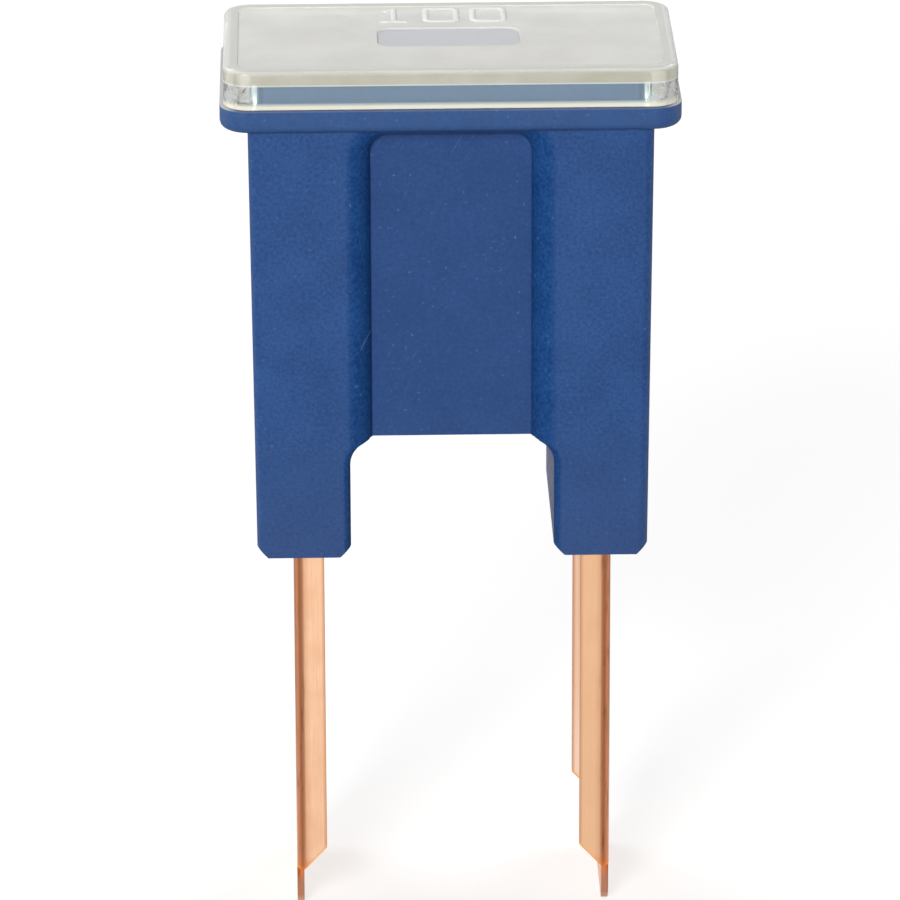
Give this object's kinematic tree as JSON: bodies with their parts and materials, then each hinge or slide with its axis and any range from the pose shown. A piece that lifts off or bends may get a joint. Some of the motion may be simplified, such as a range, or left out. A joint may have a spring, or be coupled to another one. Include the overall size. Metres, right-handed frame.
{
  "type": "automotive cartridge fuse",
  "caption": "Plug-in automotive fuse: moulded blue housing on long channel blades, clear cap with a window, link and pellet inside.",
  "frame": {"origin": "under the middle of the fuse, on the plane of the blade tips", "axes": "+Z from the blade tips to the cover, +X from one blade to the other, -Y is the front"},
  "size_m": [0.025, 0.013, 0.0501],
  "materials": {
    "housing_plastic": "satin moulded",
    "clear_plastic": "clear, frosted on top",
    "copper_alloy": "rolled sheet",
    "tin": "dull"
  },
  "bodies": {
    "root": {"housing": "housing_plastic", "cover": "clear_plastic", "fuse_element": "copper_alloy", "tin_pellet": "tin"}
  },
  "joints": []
}
